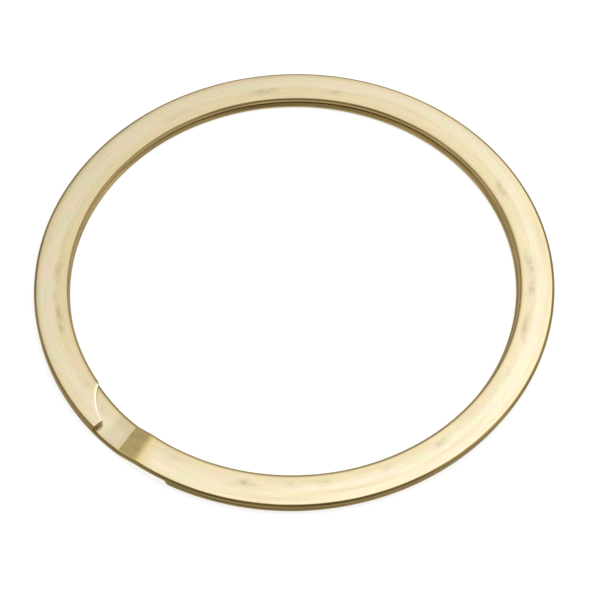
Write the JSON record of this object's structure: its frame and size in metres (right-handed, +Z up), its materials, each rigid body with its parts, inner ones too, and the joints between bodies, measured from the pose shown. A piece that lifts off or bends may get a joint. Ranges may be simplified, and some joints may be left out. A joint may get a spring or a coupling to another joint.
{
  "type": "split key ring",
  "caption": "Flat-wire split key ring: pale yellow spring wire wound double, with a crossover step and notched free ends that prise open.",
  "frame": {"origin": "centre of the ring, on the plane of its underside", "axes": "+Z up through the ring along its axis; +X to the right and +Y away from a viewer who has the notched upper end at the near left"},
  "size_m": [0.05, 0.05, 0.0012],
  "materials": {
    "wire": "yellow passivated zinc plate over spring steel, satin, drawn along the wire"
  },
  "bodies": {
    "lower_free_end": {"lower_free_end": "wire"},
    "lower_leaf_1": {"lower_leaf_1": "wire"},
    "lower_leaf_2": {"lower_leaf_2": "wire"},
    "lower_leaf_3": {"lower_leaf_3": "wire"},
    "lower_leaf_4": {"lower_leaf_4": "wire"},
    "lower_leaf_5": {"lower_leaf_5": "wire"},
    "fixed_half": {"lower_fixed_half": "wire", "crossover": "wire", "upper_fixed_half": "wire"},
    "upper_leaf_5": {"upper_leaf_5": "wire"},
    "upper_leaf_4": {"upper_leaf_4": "wire"},
    "upper_leaf_3": {"upper_leaf_3": "wire"},
    "upper_leaf_2": {"upper_leaf_2": "wire"},
    "upper_leaf_1": {"upper_leaf_1": "wire"},
    "upper_free_end": {"upper_free_end": "wire"}
  },
  "joints": [
    {"name": "lower_flex_1", "type": "hinge", "parent": "lower_free_end", "child": "lower_leaf_1", "pos_m": [-0.0002, -0.0232, 0.00028], "axis": [0.2633, 0.9647, 0], "range_deg": [0, 0.3628]},
    {"name": "lower_flex_2", "type": "hinge", "parent": "lower_leaf_1", "child": "lower_leaf_2", "pos_m": [0.01139, -0.02014, 0.00028], "axis": [0.0045, 1, 0], "range_deg": [0, 0.7005]},
    {"name": "lower_flex_3", "type": "hinge", "parent": "lower_leaf_2", "child": "lower_leaf_3", "pos_m": [0.01989, -0.01172, 0.00028], "axis": [-0.2539, 0.9672, 0], "range_deg": [0, 0.9904]},
    {"name": "lower_flex_4", "type": "hinge", "parent": "lower_leaf_3", "child": "lower_leaf_4", "pos_m": [0.02305, -0.0002, 0.00028], "axis": [-0.4946, 0.8691, 0], "range_deg": [0, 1.21]},
    {"name": "lower_flex_5", "type": "hinge", "parent": "lower_leaf_4", "child": "lower_leaf_5", "pos_m": [0.02005, 0.01135, 0.00028], "axis": [-0.7018, 0.7124, 0], "range_deg": [0, 1.35]},
    {"name": "lower_opening", "type": "hinge", "parent": "lower_leaf_5", "child": "fixed_half", "pos_m": [0.01171, 0.01988, 0.00028], "axis": [-0.8616, 0.5075, 0], "range_deg": [0, 1.4], "stiffness_Nm_per_rad": 0.06, "springref_deg": -1.15},
    {"name": "upper_opening", "type": "hinge", "parent": "fixed_half", "child": "upper_leaf_5", "pos_m": [0.01777, 0.01507, 0.00093], "axis": [-0.6468, 0.7627, 0], "range_deg": [0, 1.4], "stiffness_Nm_per_rad": 0.06, "springref_deg": -1.15},
    {"name": "upper_flex_5", "type": "hinge", "parent": "upper_leaf_5", "child": "upper_leaf_4", "pos_m": [0.00785, 0.02194, 0.00093], "axis": [-0.8221, 0.5693, 0], "range_deg": [0, 1.35]},
    {"name": "upper_flex_4", "type": "hinge", "parent": "upper_leaf_4", "child": "upper_leaf_3", "pos_m": [-0.00417, 0.02292, 0.00093], "axis": [-0.9415, 0.3371, 0], "range_deg": [0, 1.21]},
    {"name": "upper_flex_3", "type": "hinge", "parent": "upper_leaf_3", "child": "upper_leaf_2", "pos_m": [-0.01507, 0.01777, 0.00093], "axis": [-0.9966, 0.0819, 0], "range_deg": [0, 0.9904]},
    {"name": "upper_flex_2", "type": "hinge", "parent": "upper_leaf_2", "child": "upper_leaf_1", "pos_m": [-0.02194, 0.00785, 0.00093], "axis": [-0.9839, -0.1788, 0], "range_deg": [0, 0.7005]},
    {"name": "upper_flex_1", "type": "hinge", "parent": "upper_leaf_1", "child": "upper_free_end", "pos_m": [-0.02292, -0.00417, 0.00093], "axis": [-0.9041, -0.4274, 0], "range_deg": [0, 0.3628]}
  ],
  "couplings": [
    {"joint": "lower_flex_1", "follows": "lower_opening", "ratio": 0.25882},
    {"joint": "lower_flex_2", "follows": "lower_opening", "ratio": 0.5},
    {"joint": "lower_flex_3", "follows": "lower_opening", "ratio": 0.70711},
    {"joint": "lower_flex_4", "follows": "lower_opening", "ratio": 0.86603},
    {"joint": "lower_flex_5", "follows": "lower_opening", "ratio": 0.96593},
    {"joint": "upper_flex_5", "follows": "upper_opening", "ratio": 0.96593},
    {"joint": "upper_flex_4", "follows": "upper_opening", "ratio": 0.86603},
    {"joint": "upper_flex_3", "follows": "upper_opening", "ratio": 0.70711},
    {"joint": "upper_flex_2", "follows": "upper_opening", "ratio": 0.5},
    {"joint": "upper_flex_1", "follows": "upper_opening", "ratio": 0.25882}
  ]
}
